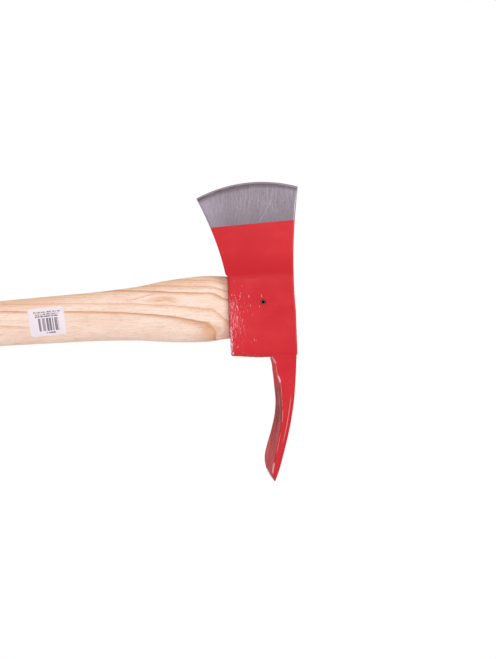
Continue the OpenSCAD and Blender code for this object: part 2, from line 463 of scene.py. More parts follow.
def headRing(low, high, sag, half):  # up the labelled side, over the top and down the other side
    c, n, m = head["cornerSteps"], head["cheekSteps"], head["rimSteps"]
    length = math.dist(low, high)
    radius = min(head["corner"], head["cornerShare"] * half)
    a = np.linspace(0, math.pi / 2, c + 1)
    inset, out = radius * (1 - np.cos(a)), half - radius + radius * np.sin(a)
    flat = np.linspace(radius, length - radius, n + 1)[1:-1]
    d = np.concatenate([inset, flat, length - inset[::-1]])
    y = np.concatenate([out, np.full(len(flat), half), out[::-1]])
    xz = arcBetween(low, high, sag, d / length)
    side = np.stack([xz[:, 0], -y, xz[:, 1]], axis=1)
    other = (side * (1, -1, 1))[::-1]
    cross = np.linspace(-1, 1, m + 1)[1:-1] * (half - radius)
    top = np.stack([np.full(m - 1, high[0]), cross, np.full(m - 1, high[1])], axis=1)
    bottom = np.stack([np.full(m - 1, low[0]), -cross, np.full(m - 1, low[1])], axis=1)
    return np.concatenate([side, top, other, bottom])


def endFaces(base):  # strips across an end ring of the head, which starts at point base
    run = 2 * (head["cornerSteps"] + 1) + head["cheekSteps"] - 1  # points up one side
    m = head["rimSteps"] - 1  # points across the top, and across the bottom

    def mate(k):  # the point across from point k
        return 2 * run + m - 1 - k

    strips = [[k, k + 1, mate(k + 1), mate(k)] for k in range(1, run - 2)]
    strips.append([run - 2] + [run - 1 + k for k in range(m + 2)] + [mate(run - 2)])
    strips.append([0, 1, mate(1)] + [2 * run + m - 1 + k for k in range(m + 1)])
    return [tuple(base + k for k in strip) for strip in strips]


def bladeHalf(d):  # half thickness at a distance from the cutting edge
    h = head
    if d <= h["bevel"]:
        return np.interp(d, (0, h["honed"], h["bevel"]), (h["edgeHalf"], h["honedHalf"], h["bevelHalf"]))
    s = (d - h["bevel"]) / (h["crease"] - h["bevel"])
    swell = h["straight"] * s + (1 - h["straight"]) * s * s
    gap = (cheekY - h["bevelHalf"]) * (1 - swell)
    return cheekY - (gap + math.sqrt(gap * gap + h["blendDepth"] ** 2)) / 2


def bladeRing(d, lower, upper, lowerEnd, upperEnd):  # d is the distance from the cutting edge
    part = d / head["crease"]
    low = along(lower, [d * (1 - (1 - lowerEnd / head["crease"]) * part)])[0]
    high = along(upper, [d * (1 - (1 - upperEnd / head["crease"]) * part)])[0]
    radius = head["edgeRadius"] - d
    flat = math.sqrt(radius ** 2 - math.dist(low, high) ** 2 / 4)
    return headRing(low, high, (radius - flat) * (1 - part) ** head["arcFade"], bladeHalf(d))


def backRing(x):  # the rounded back of the eye block
    h = head
    part = (x - h["backStart"]) / (h["backEnd"] - h["backStart"])
    half = cheekY * (1 - part ** h["backPower"]) ** (1 / h["backPower"])
    lift, drop = (r * (1 - math.sqrt(max(0, 1 - max(0, (x - h["backEnd"] + r) / r) ** 2)))
                  for r in (h["lowCorner"], h["highCorner"]))
    ring = headRing((x, lift), (x, h["height"] - drop), 0, half)
    ring[:, 0] += h["backLean"] * part * part * np.minimum(ring[:, 2], h["leanTop"])
    return ring


def makeBlock():
    h = head
    lower = np.concatenate([bezier([h["heel"], *h["heelFlank"]], h["heelSteps"]), [h["notch"]]])
    upper = bezier([h["toe"], *h["toeFlank"]], h["toeSteps"])
    last = h["notch"][0]
    lowerEnd, upperEnd = reachOf(lower)[-1], np.interp(last, upper[:, 0], reachOf(upper))
    stops = (0, h["honed"], h["bevel"], h["bevel"] + 1, h["creaseStart"], h["crease"])
    rings = [bladeRing(d, lower, upper, lowerEnd, upperEnd)
             for d in spread(*zip(stops, stops[1:], h["bladeSteps"]))]
    for x in spread((last + h["cheekGap"], h["backStart"], h["cheekRings"]))[:-1]:
        topAt = min(np.interp(x, upper[:, 0], upper[:, 1]), h["height"])
        rings.append(headRing((x, 0), (x, topAt), 0, bladeHalf(h["crease"] + x - last)))
    for a in spread((0, h["backTurn"], h["backRings"])):
        rings.append(backRing(h["backStart"] + (h["backEnd"] - h["backStart"]) * math.sin(math.radians(a))))
    sides = len(rings[0])
    faces = loftFaces(len(rings), sides, closedEnds=False)
    faces += endFaces(0) + [face[::-1] for face in endFaces((len(rings) - 1) * sides)]
    points = np.concatenate(rings)
    for p in points:  # hammered unevenness, different on the two cheeks
        calm = rise(p[0], *h["forgedX"]) * rise(abs(p[1]), *h["forgedY"])
        place = Vector((p[0] * h["forgedScale"], p[2] * h["forgedScale"], 3.0 if p[1] > 0 else 8.0))
        p[1] += np.sign(p[1]) * (noise.noise(place) - h["forgedBias"]) * h["forged"] * calm
    return makeMesh("axeHead", points, faces)


pickShape = dict(
    columns=("x", "outer", "inner", "ridge", "ridgeHalf", "outerHalf"),
    rows=(  # from block to point; outer, inner and ridge are heights of its edges
        (40, 65.3, 35.5, 38.5, 16.2, 15.4),
        (46, 65.3, 36.6, 39.8, 16.1, 15.2),
        (51, 65.0, 38.7, 42.0, 15.2, 14.2),
        (57, 64.6, 40.2, 44.4, 13.9, 12.2),
        (64, 64.2, 40.7, 44.5, 12.5, 10.8),
        (69, 63.8, 41.2, 46.3, 12.4, 10.1),
        (74, 63.4, 41.6, 48.0, 11.9, 9.5),
        (80, 62.8, 41.9, 48.5, 11.2, 8.8),
        (94, 61.2, 42.6, 48.9, 10.2, 7.2),
        (108, 58.8, 41.0, 48.9, 9.6, 5.8),
        (122, 55.8, 37.5, 47.0, 9.3, 4.6),
        (136, 52.1, 32.9, 44.0, 9.0, 3.6),
        (149, 48.3, 29.7, 40.7, 8.0, 2.6),
        (160, 45.0, 30.6, 38.3, 5.8, 1.8),
        (168, 42.0, 34.1, 37.2, 3.2, 1.1),
        (174.3, 39.4, 38.4, 38.8, 0.5, 0.25),
    ),
    runs=((40, 64, 20), (64, 150, 86), (150, 168, 30), (168, 174.3, 20)),  # start, end and rings
    hollow=1.7,  # depth of the hollow in each inner face
    hollowStart=(70, 110),  # it deepens between these
    hollowEnd=(172, 156),
    hollowBend=0.25,
    hollowSteps=14,
    keel=0.55,
    swell=0.35,  # of the sides
    sideSteps=12,
    outerSlope=3.6,  # width of the sloping strip along the outer edge
    outerStart=(52, 76),  # it widens between these
    outerSteps=6,
    rampX=(42, 174.3),  # stretch that the paint's ramps cover, and their stops
    rampStops=30,
    glints=(  # painted highlights where forged lumps of the ridge catch the light: start, full, last, end, and how bright
        (67, 71, 74, 77, 1.0),
        (50, 52, 55, 58, 0.6),
        (154, 158, 164, 168, 0.6),
    ),
)


def pickRing(row):
    p = pickShape
    x, outer, inner, ridge, ridgeHalf, outerHalf = row
    keel = min(p["keel"], ridgeHalf * 0.3)
    deepening = rise(x, *p["hollowStart"])
    t = np.linspace(0, 1, p["hollowSteps"] + 1)
    hollowY = keel + (ridgeHalf - keel) * t
    hollowZ = inner + (ridge - inner) * t ** (1.0 + p["hollowBend"] * deepening)
    bow = p["hollow"] * deepening * rise(x, *p["hollowEnd"]) * np.sin(math.pi * t)
    lean = np.array([-(ridge - inner), ridgeHalf - keel])
    lean = lean / max(np.linalg.norm(lean), 1e-6)
    hollowY, hollowZ = hollowY + bow * lean[0], hollowZ + bow * lean[1]
    corner = min(p["outerSlope"], (outer - ridge) * 0.3) * max(rise(x, *p["outerStart"]), 0.2)
    pull = min(corner * 0.75, outerHalf * 0.55)
    s = np.linspace(0, 1, p["sideSteps"] + 1)[1:]
    swell = p["swell"] * np.sin(math.pi * s) * min(1, ridgeHalf / 6)
    sideY = ridgeHalf + (outerHalf - ridgeHalf) * s + swell
    sideZ = ridge + (outer - corner - ridge) * s
    a = np.linspace(0, math.pi / 2, p["outerSteps"] + 1)[1:]
    roundY, roundZ = outerHalf - pull * (1 - np.cos(a)) ** 0.8, outer - corner + corner * np.sin(a)
    y = np.concatenate([hollowY, sideY, roundY])
    z = np.concatenate([hollowZ, sideZ, roundZ])
    right = np.stack([np.full(len(y), x), -y, z], axis=1)
    return np.concatenate([right, (right * (1, -1, 1))[::-1]])


def makePick():
    rings = [pickRing(row) for row in smoothRows(pickShape["rows"], spread(*pickShape["runs"]))]
    faces = [f[::-1] for f in loftFaces(len(rings), len(rings[0]))]
    return makeMesh("pick", np.concatenate(rings), faces)


def makeOvalCutter(halfX, halfY, low, high, lip):  # widens by lip at both mouths
    sides = 96
    rows = ((low - 4, lip + 4), (low, lip), (low + lip, 0), (high - lip, 0), (high, lip), (high + 4, lip + 4))
    rings = [np.column_stack([ovalRing(halfX + grow, halfY + grow, sides), np.full(sides, z)])
             for z, grow in rows]
    return makeMesh("cutter", np.concatenate(rings), loftFaces(len(rings), sides))


def makePinCutter(lip):  # blind hole from the labelled cheek, widened by lip at its mouth
    sides = 48
    a = anglesRound(sides)
    bottom = pinHigh[1] + 0.5
    rows = ((-cheekY - 2, pinRadius + lip + 2), (-cheekY, pinRadius + lip), (-cheekY + lip, pinRadius),
            (bottom - 1.2, pinRadius), (bottom, 0.1))
    rings = [np.stack([pinPlace[0] + r * np.cos(a), np.full(sides, y), pinPlace[1] - r * np.sin(a)], axis=1)
             for y, r in rows]
    return makeMesh("cutter", np.concatenate(rings), loftFaces(len(rings), sides))


eyeLip = 0.7  # round the mouths of the eye
pinLip = 0.25
eyeHalf = ((kerfHigh[0] - kerfLow[0]) / 2, 12.0)  # half length and half width of the eye
pinPlace = ((pinLow[0] + pinHigh[0]) / 2, (pinLow[2] + pinHigh[2]) / 2)
pinRadius = (pinHigh[0] - pinLow[0]) / 2

axeHead = makeBlock()
carve(axeHead, makePick(), "UNION")
carve(axeHead, makeOvalCutter(eyeHalf[0], eyeHalf[1], 0, head["height"], eyeLip))
carve(axeHead, makePinCutter(pinLip))
shadeByAngle(axeHead, 32)
print("head made,", len(axeHead.data.vertices), "points")


# Haft

haftShape = dict(
    rows=(  # from the foot up: z, centre, half depth, half thickness
        (-834, -12.6, 24.6, 13.2),
        (-828, -12.2, 25.6, 14.4),
        (-810, -9.5, 26.0, 15.0),
        (-772, -2.5, 20.4, 14.0),
        (-724, 5.0, 17.6, 13.0),
        (-642, 13.0, 17.2, 12.8),
        (-525, 16.0, 17.6, 13.0),
        (-400, 13.2, 19.2, 13.3),
        (-300, 9.3, 21.2, 13.6),
        (-230, 6.6, 22.5, 13.8),
        (-180, 4.8, 23.5, 14.0),
        (-132, 3.2, 24.5, 14.2),
        (-91, 1.9, 27.0, 14.5),
        (-65, 0.9, 30.4, 14.8),
        (-40, 0.2, 32.4, 15.0),
        (-22, -0.3, 32.9, 15.0),
        (-8, -0.7, 31.7, 14.8),
        (0, -0.8, 31.0, 14.6),
    ),
    sides=112,
    footRound=3.5,
    footSteps=7,
    footLean=0.10,
    leanHeight=40.0,  # the slant of the foot's end fades out over this
    gripRings=180,
    shoulderStart=-100.0,  # rings stand closer from here to the head
    shoulderRings=60,
    shoulderTop=-0.9,
    shoulderRim=((-0.45, 0.25), (-0.1, 0.9)),  # height and inset of each ring of its rounded rim
    tongueFoot=((-0.05, 0.2), (0.1, 0.0)),  # height and flare
    tongueRings=16,
    topRound=0.3,
    gap=0.15,  # between the tongue and the eye
)


def haftRow(z):
    return smoothRows(haftShape["rows"], [z])[0]


def makeHaft():
    h = haftShape
    n = h["sides"]
    rings = []

    def ring(z, centre, halfX, halfY):
        oval = ovalRing(halfX, halfY, n)
        return np.column_stack([oval[:, 0] + centre, oval[:, 1], np.full(n, z)])

    foot = h["rows"][0][0]
    base = haftRow(foot + h["footRound"])
    endX, endY = base[2] - h["footRound"], base[3] - h["footRound"]
    for part in np.linspace(0.04, 0.9, h["footSteps"])[:-1] / 0.9:  # the end grain, from its middle out
        rings.append(ring(foot, base[1], endX * part, endY * part))
    for a in np.radians(np.linspace(0, 90, h["footSteps"])):
        inset = h["footRound"] * (1 - math.sin(a))
        up = foot + h["footRound"] * (1 - math.cos(a))
        rings.append(ring(up, base[1], base[2] - inset, base[3] - inset))
    places = spread((foot + h["footRound"] + 2, h["shoulderStart"], h["gripRings"]),
                    (h["shoulderStart"], h["shoulderTop"], h["shoulderRings"]))
    rings += [ring(*row) for row in smoothRows(h["rows"], places)]
    top = haftRow(h["shoulderTop"])
    tongue = (eyeHalf[0] - h["gap"], eyeHalf[1] - h["gap"])
    rings += [ring(z, top[1], top[2] - inset, top[3] - inset) for z, inset in h["shoulderRim"]]
    rings += [ring(z, 0, tongue[0] + flare, tongue[1] + flare) for z, flare in h["tongueFoot"]]
    rings += [ring(z, 0, *tongue) for z in np.linspace(4, topZ - h["topRound"], h["tongueRings"])]
    rings.append(ring(topZ, 0, tongue[0] - h["topRound"], tongue[1] - h["topRound"]))
    points = np.concatenate(rings)
    fade = 1 - rise(points[:, 2], foot, foot + h["leanHeight"])
    points[:, 2] += (points[:, 0] - base[1] + base[2]) * h["footLean"] * fade ** 2
    return makeMesh("haft", points, loftFaces(len(rings), n), 40)


wedges = dict(
    steelWidth=16.0,
    steelHalf=1.7,
    steelTurn=14.0,
    tipHalf=0.5,
    barbs=((0.7, 0.45), (1.0, 0.2)),  # share of the taper, and depth as a share of the wedge's
    barbDepth=0.35,
    proud=0.25,  # steel wedges stand this far above the wood
    kerfTop=3.0,
    kerfFoot=0.6,
    kerfProud=0.1,
    kerfRound=0.3,
    kerfInset=0.25,  # from the ends of the eye
    endFit=0.2,  # clearance of its rounded ends in the eye
    fit=0.05,  # clearance of the steel wedges in the wood
    kerfFit=0.06,
)


def prism(name, outline, halfLength, turn, offset, shrink):
    # outline in X and Z, drawn out along Y, with its ends shrunk a little to round them
    o = np.array(outline, float)
    middle = o.mean(axis=0)
    rings = []
    for y, inset in ((-halfLength, shrink), (-halfLength + shrink, 0), (0, 0), (halfLength - shrink, 0),
                     (halfLength, shrink)):
        scale = 1 - inset / (np.abs(o - middle).max(axis=0) + 1e-9)
        q = middle + (o - middle) * scale
        rings.append(np.stack([q[:, 0], np.full(len(q), y), q[:, 1]], axis=1))
    x, y, z = np.concatenate(rings).T
    c, s = math.cos(math.radians(turn)), math.sin(math.radians(turn))
    points = np.stack([c * x - s * y + offset, s * x + c * y, z], axis=1)
    return makeMesh(name, points, [f[::-1] for f in loftFaces(len(rings), len(o))], 30)


def steelOutline(node, grow=0.0):  # two barbs on each face hold it in the wood
    w = wedges
    low, high = boxOf(node)
    half, top = w["steelHalf"] + grow, high[2] + w["proud"]
    right = [(w["tipHalf"], low[2])]
    for share, down in w["barbs"]:
        out, z = w["tipHalf"] + share * (half - w["tipHalf"]), high[2] - down * (high[2] - low[2])
        right += [(out, z), (out - w["barbDepth"], z)]
    right += [(half, top - 0.5), (half - 0.25, top - 0.1), (half * 0.4, top)]
    return right + [(-x, z) for x, z in right[::-1]]


def makeSteelWedge(name, node, side, grow=0.0):
    low, high = boxOf(node)
    return prism(name, steelOutline(node, grow), wedges["steelWidth"] / 2 + grow, side * wedges["steelTurn"],
                 (low[0] + high[0]) / 2, 0.5)


def makeKerfWedge(name, grow=0.0, extra=0.0):  # extra makes it a cutter, longer and taller than the kerf
    w = wedges
    low, top = kerfLow[2] - grow, topZ + w["kerfProud"] + extra
    half, foot, rim = w["kerfTop"] + grow, w["kerfFoot"] + grow, w["kerfRound"]
    outline = [(foot, low), (half, top - rim), (half - rim, top), (rim - half, top), (-half, top - rim),
               (-foot, low)]
    return prism(name, outline, eyeHalf[0] + (extra or -w["kerfInset"]), 90, 0, 0.0 if extra else rim)


haft = makeHaft()
carve(haft, makeKerfWedge("cutter", wedges["kerfFit"], 3.0))
kerfWedge = makeKerfWedge("kerfWedge")
carve(kerfWedge, makeOvalCutter(eyeHalf[0] - wedges["endFit"], eyeHalf[1], -60, 120, 0.0), "INTERSECT")
steelWedges = []
for name, node, side in (("steelWedgeFront", "steel_wedge_front", -1),
                         ("steelWedgeBack", "steel_wedge_back", 1)):
    for wood in (haft, kerfWedge):
        carve(wood, makeSteelWedge("cutter", node, side, wedges["fit"]))
    steelWedges.append((makeSteelWedge(name, node, side), node))
carve(haft, makePinCutter(0.0))
carve(kerfWedge, makePinCutter(0.0))
shadeByAngle(haft, 40)
shadeByAngle(kerfWedge, 30)
print("haft and wedges made,", len(haft.data.vertices), "points in the haft")


# Spring pin: a tube with a slot along it, facing the top of the head

pin = dict(
    bore=1.65,  # radius inside
    slot=1.1,
    chamfer=0.4,
    fit=0.02,
    arcSteps=44,
)


def makePin():
    halfSlot = math.asin(pin["slot"] / 2 / pinRadius)
    a = np.linspace(halfSlot, 2 * math.pi - halfSlot, pin["arcSteps"])
    near, far = pinLow[1], pinHigh[1]
    cut = pin["chamfer"]
    rings = []
    for y, inset in ((near, cut), (near + cut, 0), (0, 0), (far - cut, 0), (far, cut)):
        arc = [(pinPlace[0] + radius * math.sin(t), y, pinPlace[1] + radius * math.cos(t))
               for radius, turns in ((pinRadius - pin["fit"] - inset, a), (pin["bore"], a[::-1]))
               for t in turns]
        rings.append(np.array(arc))
    n = len(rings[0])
    faces = loftFaces(len(rings), n, closedEnds=False)
    e = (len(rings) - 1) * n  # first point of the far end
    for k in range(pin["arcSteps"] - 1):
        faces.append((k + 1, k, n - 1 - k, n - 2 - k))
        faces.append((e + k, e + k + 1, e + n - 2 - k, e + n - 1 - k))
    return makeMesh("crossPin", np.concatenate(rings), faces)


crossPin = makePin()


# Label: a thin sheet laid on the haft, with its own flat map in millimetres

label = dict(
    length=35.8,
    height=28.0,
    shift=(0.5, 0.6),  # in X and Z
    corner=3.0,
    turn=3.5,
    shear=0.046,
    lift=0.03,
    thick=0.12,
    columns=72,
    rows=56,
)
labelMiddle = (labelLow + labelHigh) / 2


def haftSurface(x, z, out):  # y of the labelled side of the haft
    row = haftRow(z)
    part = min(abs(x - row[1]) / (row[2] + out), 0.999)
    a = math.acos(part ** (1 / ovalPower))
    return -(row[3] + out) * math.sin(a) ** ovalPower


def makeLabel():
    l = label
    turn = math.radians(l["turn"])
    middleX, middleZ = labelMiddle[0] + l["shift"][0], labelMiddle[2] + l["shift"][1]
    points, flat = [], []
    for out in (l["lift"] + l["thick"], l["lift"]):
        for j in range(l["rows"] + 1):
            v = j / l["rows"]
            for i in range(l["columns"] + 1):
                u = i / l["columns"]
                across, up = squeeze((u - 0.5) * l["length"], (v - 0.5) * l["height"])
                z = middleZ + across * math.cos(turn) - up * (math.sin(turn) + l["shear"])
                x = middleX - across * math.sin(turn) - up * math.cos(turn)
                points.append((x, haftSurface(x, z, out), z))
                flat.append((across, up))
    n, m = l["columns"] + 1, l["rows"] + 1
    faces = []
    for j in range(m - 1):
        for i in range(n - 1):
            a = j * n + i
            faces.append((a, a + 1, a + n + 1, a + n))
            b = a + n * m
            faces.append((b, b + n, b + n + 1, b + 1))
    border = ([(0, i) for i in range(n)] + [(j, n - 1) for j in range(1, m)]
              + [(m - 1, i) for i in range(n - 2, -1, -1)] + [(j, 0) for j in range(m - 2, 0, -1)])
    for (j, i), (k, o) in zip(border, border[1:] + border[:1]):
        a, b = j * n + i, k * n + o
        faces.append((a + n * m, b + n * m, b, a))
    piece = makeMesh("label", points, faces, 50)
    layer = piece.data.uv_layers.new(name="labelMap")
    for loop in piece.data.loops:
        layer.data[loop.index].uv = flat[loop.vertex_index]
    return piece


def squeeze(across, up):  # pulls the grid's edge in to round corners
    l = label
    r = l["corner"]
    cx, cy = l["length"] / 2 - r, l["height"] / 2 - r
    dx, dy = abs(across) - cx, abs(up) - cy
    if dx > 0 and dy > 0:
        scale = max(dx, dy) / math.hypot(dx, dy)
        return math.copysign(cx + dx * scale, across), math.copysign(cy + dy * scale, up)
    return across, up


labelPiece = makeLabel()
print("pin and label made")


# Head materials: red paint and bare ground steel, parted by a straight line

steelLook = dict(
    tone=colour(170, 158, 168),
    dark=colour(129, 118, 127),
    low=colour(132, 122, 130),  # next to the paint
    bright=colour(178, 168, 182),  # at the heel and on the honed strip
    # bevel is a painted shade: the darker reflection of the ground bevel turned from the light
    bevel=colour(92, 75, 72),
    scratch=colour(222, 214, 220),
    rough=0.45,
    arcZ=32.3,  # height of the middle of the edge's arc
    bevelFade=(1.0, 10.0),  # distances from the edge between which the bevel's painted shade fades out
    bevelFadeToe=6.5,  # the far one at the toe, where the bevel is narrower
    bevelBand=0.42,  # share of the far distance that the darkest band takes
    bevelSoft=0.62,  # how dark the rest of the fade is
    honed=(1.9, 1.3),  # distances from the edge between which the honed strip fades in
    scratchTop=(-109.5, 49.0),  # X and Z
    scratchWay=(0.842, -0.54),
    scratchLength=32.0,
    scratchWidth=(0.32, 0.12),
)

paintLook = dict(
    red=colour(207, 34, 45),
    # deep is both a random tone of the paint and the tone of painted shade; shade is a painted shade for the
    # crease and the pick's side
    deep=colour(198, 24, 35),
    lighter=colour(212, 45, 54),
    shade=colour(188, 14, 26),
    # scuff is the pale colour of worn paint and of painted highlights on the pick
    scuffAndHighlight=colour(238, 204, 214),
    # the next three colours paint the pick's hollow inner faces: darker and greyer as painted shade and
    # sheen, with pale streaks
    hollowShade=colour(132, 62, 63),
    hollowStreakPale=colour(198, 108, 108),
    hollowShadeRed=colour(188, 82, 84),
    bareTip=colour(190, 200, 210),
    lineLow=(-80.9, -15.9),  # ends of the straight edge of the paint, in X and Z
    lineHigh=(-85.6, 68.6),
    ragged=0.5,
    rough=0.38,
    roughWear=0.25,  # how much rougher the worn paint is
    roughCrease=0.3,
    roughInside=0.35,  # the same for the pick's inner faces
    coat=0.12,
    flecks=((0.62, 0.50), (0.4, 0.42)),  # cells to a millimetre, and the share of them that are chipped
    fleckWear=0.75,  # how pale each kind of wear and painted highlight is
    hazeWear=0.4,
    ridgeWearAndHighlight=0.32,
    rimHighlight=0.3,
)


def makeBareSteel(p, grind, fromPaint):  # colour of the ground blade
    k = steelLook
    x, z = p.x, p.z
    radial = ((x - (head["edgeRadius"] + headLow[0])) ** 2 + (z - k["arcZ"]) ** 2).sqrt()
    fromEdge = head["edgeRadius"] - radial
    # painted shade on the bevel: its darker reflection, darkest in a band near the edge
    near, far = k["bevelFade"]
    reach = z.fade(-30, 75) * (k["bevelFadeToe"] - far) + far
    soft = (fromEdge / reach).fade(1.0, near / far)
    band = (fromEdge / (reach * k["bevelBand"])).fade(1.0, 0.55)
    uneven = p.cloud(0.35, (0.3, 1.0, 0.25), 3).fade(0.25, 0.55)
    bevel = (soft * k["bevelSoft"]).most(band * uneven)
    # one long diagonal scratch and a few small nicks
    goX, goZ = k["scratchWay"]
    dx, dz = x - k["scratchTop"][0], z - k["scratchTop"][1]
    aside = dx * -goZ + dz * goX + (p.cloud(0.08, detail=1) - 0.5) * 3
    down = dx * goX + dz * goZ
    scratch = abs(aside).fade(*k["scratchWidth"]) * down.fade(0, 3)
    scratch = scratch * down.fade(k["scratchLength"], k["scratchLength"] - 4)
    scratch = scratch * p.cloud(0.5).fade(0.42, 0.55)
    nick, number = p.cells(1.0, (0.45, 0.2, 0.16))
    nicks = nick.fade(0.10, 0.04) * (number > 0.45)
    return p.layers(
        p.blend(grind.fade(0.31, 0.69), k["dark"], k["tone"]),
        (p.cloud(0.07, (0.6, 1.0, 1.0)).fade(0.35, 0.7), 0.3, k["dark"]),
        (fromPaint.fade(-22, -1), 0.65, k["low"]),
        (z.fade(8, -24), 0.5, k["bright"]),
        # painted shade of the bevel
        (bevel, 0.85, k["bevel"]),
        (fromEdge.fade(*k["honed"]), 0.7, k["bright"]),
        (scratch.most(nicks), 0.42, k["scratch"]),
    )


def makeCheekWear(p):  # whitish rubbing along the haft-side edge, short flecks, and a haze of strokes
    k = paintLook
    x, y, z = p.x, p.y, p.z
    onCheek = abs(y).fade(13, 16)
    front = y.fade(0, -8)  # the labelled side is worn more
    edge = (z / (x * 0.09 + 3.4)).fade(1.0, 0.25) * x.fade(2, 22) * onCheek
    rub = (p.cloud(0.8, (0.4, 1.0, 1.0), 4, 0.75) + edge * 0.28).fade(0.74, 0.86) * edge
    warped = p.moved(p.scaled(p.place, (0.24, 1.0, 1.0)), (p.cloud(0.5) - 0.5) * 1.4)
    fleckZone = z.fade(46, 3) * x.fade(-34, -6) * onCheek * (front * 0.6 + 0.4)
    flecks = 0
    for scale, share in k["flecks"]:
        middle, number = p.cells(scale, vector=warped)
        chosen = (number + fleckZone * share).fade(1.0, 1.04)
        flecks = (middle.fade(0.2, 0.07) * chosen).most(flecks)
    flecks = flecks * p.cloud(1.6).fade(0.32, 0.5)
    strokes = p.cloud(0.85, (0.8, 1.3, 1.3), 4, 0.72, warped)
    hazeZone = z.fade(27, 2) * x.fade(-16, -4) * x.fade(48, 16) * onCheek * front
    haze = (strokes + hazeZone * 0.13).fade(0.63, 0.72) * hazeZone.fade(0, 0.4)
    return rub.most(flecks * k["fleckWear"]).most(haze * k["hazeWear"])


def pickLine(p, name):  # one column of the pick's table at X, read from a grey ramp
    column = pickShape["columns"].index(name)
    first, last = pickShape["rampX"]
    rows = smoothRows(pickShape["rows"], np.linspace(first, last, pickShape["rampStops"]))
    start, span, low, high = 40.0, 140.0, 28.0, 68.0  # the ramp's own range in X and Z
    stops = [((row[0] - start) / span, (row[column] - low) / (high - low)) for row in rows]
    ramp = p.node("ValToRGB", {"stops": stops}, {"Fac": (p.x - start) / span})
    return ramp * (high - low) + low


def makeHeadMaterial():
    p = Paint("redPaintAndBareSteel")
    k = paintLook
    x, y, z = p.x, p.y, p.z
    (lowX, lowZ), (highX, highZ) = k["lineLow"], k["lineHigh"]
    slant = (highX - lowX) / (highZ - lowZ)
    fromPaint = x - ((z - lowZ) * slant + lowX) + (p.cloud(0.9, detail=3) - 0.5) * k["ragged"]
    bare = fromPaint.fade(0.18, -0.18)
    # grind lines run from the edge towards the eye
    grind = p.cloud(0.8, (0.025, 1.0, 1.0), 3, 0.7) * 0.55 + p.cloud(2.2, (0.05, 1.0, 1.0), 2, 0.6) * 0.45
    steel = makeBareSteel(p, grind, fromPaint)
    # the pick's hollow inner faces, streaked and painted darker and greyer as shade and sheen, and its ridge,
    # rubbed pale and given a painted highlight
    above = z - pickLine(p, "ridge")
    fromOuter = pickLine(p, "outer") - z
    fromKeel = z - pickLine(p, "inner")
    onPick = x.fade(49, 54)
    hollow = above.fade(-0.4, -1.2) * x.fade(68, 82)
    streaks = p.cloud(0.5, None, 3, 0.6, p.join(above, y, x * 0.05 + above * 0.1))
    # ridge: a pale line that is partly worn paint and partly a painted highlight along the ridge's edge
    ridge = abs(above - 0.1).fade(0.45, 0.1) * onPick * p.cloud(0.2, (0.5, 1, 1), 3).fade(0.38, 0.55)
    # painted highlights on the ridge's lumps
    lumps = 0
    for start, full, last, end, strength in pickShape["glints"]:
        lumps = x.fade(start, full) * x.fade(end, last) * strength + lumps
    glint = abs(above + 0.4).fade(1.2, 0.3) * lumps * onPick
    tip = x.fade(160, 163) * fromKeel.fade(1.1, 0.6) * above.fade(-0.3, -0.8)
    # painted shade on the strip that slopes along the pick's outer edge
    strip = fromOuter.fade(3.9, 3.0) * x.fade(60, 80)
    # painted highlight: a pale line along the edge of the pick's outer slope
    rimLine = abs(fromOuter - 3.7).fade(0.7, 0.1) * x.fade(86, 98) * x.fade(140, 126)
    # worn paint and painted highlights share one pale colour
    wearAndHighlight = makeCheekWear(p).most(ridge * k["ridgeWearAndHighlight"]).most(glint).most(rimLine * k["rimHighlight"])
    wearAndHighlight = wearAndHighlight * (1 - bare)
    # painted shade: a darker band in the crease where the blade meets the flat cheek
    creaseShade = x.fade(-58, -36) * x.fade(-26, -33)
    # painted shade and sheen of the hollow faces turned from the light, with pale streaks
    under = p.layers(
        k["hollowShade"],
        (streaks.fade(0.42, 0.62), 1.0, k["hollowStreakPale"]),
        ((x.fade(95, 145) * 0.7).most(x.fade(84, 72)), 1.0, k["hollowShadeRed"]),
    )
    red = p.layers(
        p.blend(p.cloud(0.02, detail=3).fade(0.3, 0.7), k["deep"], k["red"]),
        (p.cloud(0.06, (1.0, 1.0, 0.6), 3, 0.6).fade(0.45, 0.75), 0.5, k["lighter"]),
        # painted shade: darker on the pick's outer slope, along its side face and in the blade's crease
        ((strip * 0.5).most(x.fade(70, 105) * 0.8).most(creaseShade * 0.9), 1.0, k["deep"]),
        # painted shade in the crease and on the pick's side face
        (creaseShade.most(x.fade(72, 100)), 0.5, k["shade"]),
        (hollow, 0.92, under),
        # worn paint, and painted highlights on the pick's ridge, lumps and rim
        (wearAndHighlight, 1.0, k["scuffAndHighlight"]),
        (tip, 1.0, k["bareTip"]),
    )
    inCrease = x.fade(-42, -36) * x.fade(-26, -30)
    rough = bare * (steelLook["rough"] - k["rough"]) + k["rough"] + wearAndHighlight * k["roughWear"]
    rough = rough + (grind - 0.5) * 0.1 * bare + inCrease * k["roughCrease"]
    ground = p.bump(grind, 0.02, 0.5)
    skin = p.bump(p.cloud(0.45) * (1 - bare), 0.06, 0.35, ground)
    return p.finish({
        "Base Color": p.blend(bare, red, steel),
        "Metallic": bare.most(tip * 0.6),
        "Roughness": rough + above.fade(0.2, -0.4) * onPick * k["roughInside"],
        "Normal": p.bump(1 - bare, 0.12, 0.8, skin),  # the paint's edge is a small step
        "Coat Weight": (1 - bare) * (1 - wearAndHighlight) * (1 - hollow) * k["coat"],
        "Coat Roughness": 0.2,
        "Specular IOR Level": 0.25,
    })


# Wood: growth rings round a pith that lies deeper towards the head

